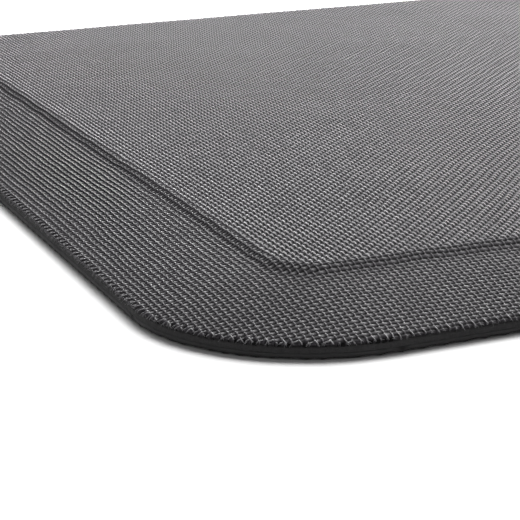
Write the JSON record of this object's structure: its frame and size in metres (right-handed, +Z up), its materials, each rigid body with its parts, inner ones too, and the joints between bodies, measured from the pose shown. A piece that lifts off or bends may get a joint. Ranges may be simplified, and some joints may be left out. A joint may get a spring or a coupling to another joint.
{
  "type": "anti fatigue mat",
  "caption": "Cushioned standing mat with a woven top, a raised standing panel and a sloped border down to a thin cut edge, on a flat grip base.",
  "frame": {"origin": "centre of the underside, on the floor that the mat lies on", "axes": "+X along the long side, +Y along the short side, +Z up through the thickness, out of the woven standing face"},
  "size_m": [0.762, 0.457, 0.0127],
  "materials": {
    "woven_yarn": "plain weave of coated charcoal-grey yarn with a soft plastic sheen",
    "hot_melt_film": "thin dark hot-melt adhesive film",
    "cushion_foam": "dark closed-cell cushion foam, matte and finely porous at the cut wall",
    "base_rubber": "black matte grip sheet with a fine moulded texture underneath"
  },
  "bodies": {
    "root": {"woven_cover": "woven_yarn", "cover_bond_film": "hot_melt_film", "foam_core": "cushion_foam", "base_bond_film": "hot_melt_film", "grip_base": "base_rubber"}
  },
  "joints": []
}
